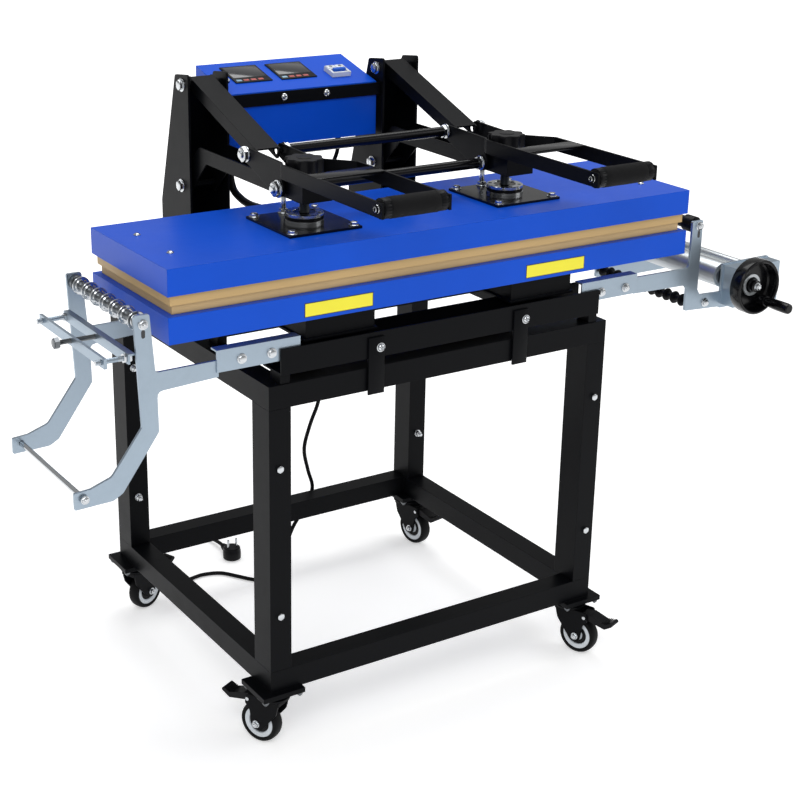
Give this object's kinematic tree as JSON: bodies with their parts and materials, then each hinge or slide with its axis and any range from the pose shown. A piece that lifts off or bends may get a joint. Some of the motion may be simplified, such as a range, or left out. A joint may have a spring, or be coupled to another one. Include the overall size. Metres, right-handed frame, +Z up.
{
  "type": "heat press",
  "caption": "Clamshell heat press on a wheeled stand, with linked lever handles, a long heated platen, a strap feeder at one end and a hand-cranked take-up winder at the other.",
  "frame": {"origin": "centre of the bounding box of everything but the free mains lead and its plug, on the floor plane", "axes": "+X along the platen towards the winder, +Y to the back, +Z up"},
  "size_m": [1.422, 1.0187, 1.0812],
  "materials": {
    "black_coat": "satin powder coat",
    "black_gloss": "gloss black",
    "blue_coat": "gloss powder coat",
    "zinc": "bright zinc plate",
    "chrome": "polished",
    "aluminium": "satin",
    "tan_pad": "silicone foam under a woven cover",
    "gold_plate": "coated face",
    "tyre": "matt",
    "black_plastic": "matt",
    "cable_jacket": "semi-matt",
    "white_plastic": "gloss",
    "yellow_plate": "satin",
    "grip_foam": "closed-cell foam",
    "display": "smoked window",
    "key_red": "matt",
    "key_blue": "matt",
    "blue_plastic": "gloss"
  },
  "bodies": {
    "base": {"stand_top_frame": "black_coat", "stand_bottom_frame": "black_coat", "leg_front_left": "black_coat", "leg_front_right": "black_coat", "leg_rear_left": "black_coat", "leg_rear_right": "black_coat", "crossbar_front": "black_coat", "crossbar_rear": "black_coat", "press_frame_left": "black_coat", "press_frame_right": "black_coat", "tie_bar": "black_coat", "control_box": "blue_coat", "breaker_body": "white_plastic", "lower_housing": "blue_coat", "lower_pad": "tan_pad", "heater_cable": "cable_jacket", "mains_gland": "black_plastic", "mains_lead": "cable_jacket", "mains_plug": "black_plastic", "feeder_bracket_front": "zinc", "feeder_bracket_rear": "zinc", "supply_rod": "chrome", "clamp_frame": "zinc", "winder_bracket_front": "zinc", "winder_bracket_rear": "zinc"},
    "breaker_toggle": {"breaker_toggle": "blue_plastic"},
    "arm": {"main_arm_left": "black_coat", "main_arm_right": "black_coat", "cross_rod_lower": "black_gloss"},
    "upper_platen": {"upper_housing": "blue_coat", "heating_plate": "gold_plate", "lock_plate_left": "black_gloss", "lock_plate_right": "black_gloss"},
    "spindle_left": {"pressure_spindle_left": "black_plastic"},
    "spindle_right": {"pressure_spindle_right": "black_plastic"},
    "handle": {"handle_left": "black_coat", "handle_right": "black_coat", "cross_rod_upper": "black_gloss"},
    "link": {"top_link_left": "black_coat", "top_link_right": "black_coat"},
    "feeder_roller": {"feeder_roller": "chrome"},
    "clamp_strip": {"clamp_strip": "zinc"},
    "clamp_screw": {"clamp_screw": "zinc"},
    "takeup": {"takeup_roller": "aluminium", "handwheel": "black_plastic"},
    "crank_grip": {"crank_grip": "black_plastic"},
    "winder_top_roller": {"winder_top_roller": "black_plastic"},
    "idler_roller": {"idler_roller": "aluminium"},
    "caster_front_left": {"caster_fork_front_left": "black_coat"},
    "wheel_front_left": {"caster_wheel_front_left": "tyre"},
    "pedal_front_left": {"brake_pedal_front_left": "black_plastic"},
    "caster_front_right": {"caster_fork_front_right": "black_coat"},
    "wheel_front_right": {"caster_wheel_front_right": "tyre"},
    "pedal_front_right": {"brake_pedal_front_right": "black_plastic"},
    "caster_rear_left": {"caster_fork_rear_left": "black_coat"},
    "wheel_rear_left": {"caster_wheel_rear_left": "tyre"},
    "pedal_rear_left": {"brake_pedal_rear_left": "black_plastic"},
    "caster_rear_right": {"caster_fork_rear_right": "black_coat"},
    "wheel_rear_right": {"caster_wheel_rear_right": "tyre"},
    "pedal_rear_right": {"brake_pedal_rear_right": "black_plastic"}
  },
  "joints": [
    {"name": "arm_hinge", "type": "hinge", "parent": "base", "child": "arm", "pos_m": [-0.036, 0.26775, 0.878], "axis": [-1, 0, 0], "range_deg": [0, 12.5], "deforming": ["heater_cable"]},
    {"name": "handle_hinge", "type": "hinge", "parent": "arm", "child": "handle", "pos_m": [-0.036, -0.07925, 0.943], "axis": [-1, 0, 0], "range_deg": [0, 39.1]},
    {"name": "link_hinge", "type": "hinge", "parent": "base", "child": "link", "pos_m": [-0.036, 0.25775, 1.061], "axis": [1, 0, 0], "range_deg": [0, 6.4]},
    {"name": "pressure_slide", "type": "slide", "parent": "arm", "child": "upper_platen", "axis": [0, 0, 1], "range_m": [0, 0.0025]},
    {"name": "spindle_turn_left", "type": "hinge", "parent": "upper_platen", "child": "spindle_left", "pos_m": [-0.24, -0.10325, 0.983], "axis": [0, 0, 1], "range_deg": [0, 226]},
    {"name": "spindle_turn_right", "type": "hinge", "parent": "upper_platen", "child": "spindle_right", "pos_m": [0.168, -0.10325, 0.983], "axis": [0, 0, 1], "range_deg": [0, 226]},
    {"name": "breaker_switch", "type": "hinge", "parent": "base", "child": "breaker_toggle", "pos_m": [0.063, 0.28709, 1.05496], "axis": [1, 0, 0], "range_deg": [-20, 20]},
    {"name": "feeder_roller_spin", "type": "hinge", "parent": "base", "child": "feeder_roller", "pos_m": [-0.59, -0.09925, 0.805], "axis": [0, 1, 0], "continuous": true},
    {"name": "clamp_slide", "type": "slide", "parent": "base", "child": "clamp_strip", "axis": [1, 0, 0], "range_m": [0, 0.02]},
    {"name": "clamp_screw_turn", "type": "hinge", "parent": "clamp_strip", "child": "clamp_screw", "pos_m": [-0.656, -0.09925, 0.7525], "axis": [1, 0, 0], "range_deg": [0, 5761]},
    {"name": "takeup_spin", "type": "hinge", "parent": "base", "child": "takeup", "pos_m": [0.604, -0.09925, 0.7055], "axis": [0, 1, 0], "continuous": true},
    {"name": "crank_grip_spin", "type": "hinge", "parent": "takeup", "child": "crank_grip", "pos_m": [0.626, -0.33925, 0.6755], "axis": [0, 1, 0], "continuous": true},
    {"name": "top_roller_spin", "type": "hinge", "parent": "base", "child": "winder_top_roller", "pos_m": [0.5235, -0.09925, 0.8125], "axis": [0, 1, 0], "continuous": true},
    {"name": "idler_spin", "type": "hinge", "parent": "base", "child": "idler_roller", "pos_m": [0.679, -0.09925, 0.709], "axis": [0, 1, 0], "continuous": true},
    {"name": "swivel_front_left", "type": "hinge", "parent": "base", "child": "caster_front_left", "pos_m": [-0.361, -0.20625, 0.1], "axis": [0, 0, 1], "continuous": true},
    {"name": "roll_front_left", "type": "hinge", "parent": "caster_front_left", "child": "wheel_front_left", "pos_m": [-0.37185, -0.18439, 0.0375], "axis": [-0.8957, -0.4446, 0], "continuous": true},
    {"name": "brake_front_left", "type": "hinge", "parent": "caster_front_left", "child": "pedal_front_left", "pos_m": [-0.37967, -0.16863, 0.082], "axis": [-0.8957, -0.4446, 0], "range_deg": [0, 10]},
    {"name": "swivel_front_right", "type": "hinge", "parent": "base", "child": "caster_front_right", "pos_m": [0.289, -0.20625, 0.1], "axis": [0, 0, 1], "continuous": true},
    {"name": "roll_front_right", "type": "hinge", "parent": "caster_front_right", "child": "wheel_front_right", "pos_m": [0.29762, -0.22907, 0.0375], "axis": [0.9354, 0.3535, 0], "continuous": true},
    {"name": "brake_front_right", "type": "hinge", "parent": "caster_front_right", "child": "pedal_front_right", "pos_m": [0.30385, -0.24553, 0.082], "axis": [0.9354, 0.3535, 0], "range_deg": [0, 10]},
    {"name": "swivel_rear_left", "type": "hinge", "parent": "base", "child": "caster_rear_left", "pos_m": [-0.361, 0.35275, 0.1], "axis": [0, 0, 1], "continuous": true},
    {"name": "roll_rear_left", "type": "hinge", "parent": "caster_rear_left", "child": "wheel_rear_left", "pos_m": [-0.33838, 0.3619, 0.0375], "axis": [-0.3746, 0.9272, 0], "continuous": true},
    {"name": "brake_rear_left", "type": "hinge", "parent": "caster_rear_left", "child": "pedal_rear_left", "pos_m": [-0.32206, 0.36849, 0.082], "axis": [-0.3746, 0.9272, 0], "range_deg": [0, 10]},
    {"name": "swivel_rear_right", "type": "hinge", "parent": "base", "child": "caster_rear_right", "pos_m": [0.289, 0.35275, 0.1], "axis": [0, 0, 1], "continuous": true},
    {"name": "roll_rear_right", "type": "hinge", "parent": "caster_rear_right", "child": "wheel_rear_right", "pos_m": [0.29349, 0.32877, 0.0375], "axis": [0.9829, 0.184, 0], "continuous": true},
    {"name": "brake_rear_right", "type": "hinge", "parent": "caster_rear_right", "child": "pedal_rear_right", "pos_m": [0.29673, 0.31147, 0.082], "axis": [0.9829, 0.184, 0], "range_deg": [0, 10]}
  ],
  "couplings": [
    {"joint": "handle_hinge", "follows": "arm_hinge", "ratio": 3.1232},
    {"joint": "link_hinge", "follows": "arm_hinge", "ratio": 0.5112},
    {"joint": "spindle_turn_left", "follows": "pressure_slide", "rad_per_m": 1570.8},
    {"joint": "spindle_turn_right", "follows": "pressure_slide", "rad_per_m": 1570.8},
    {"joint": "clamp_screw_turn", "follows": "clamp_slide", "rad_per_m": 5026.5}
  ]
}
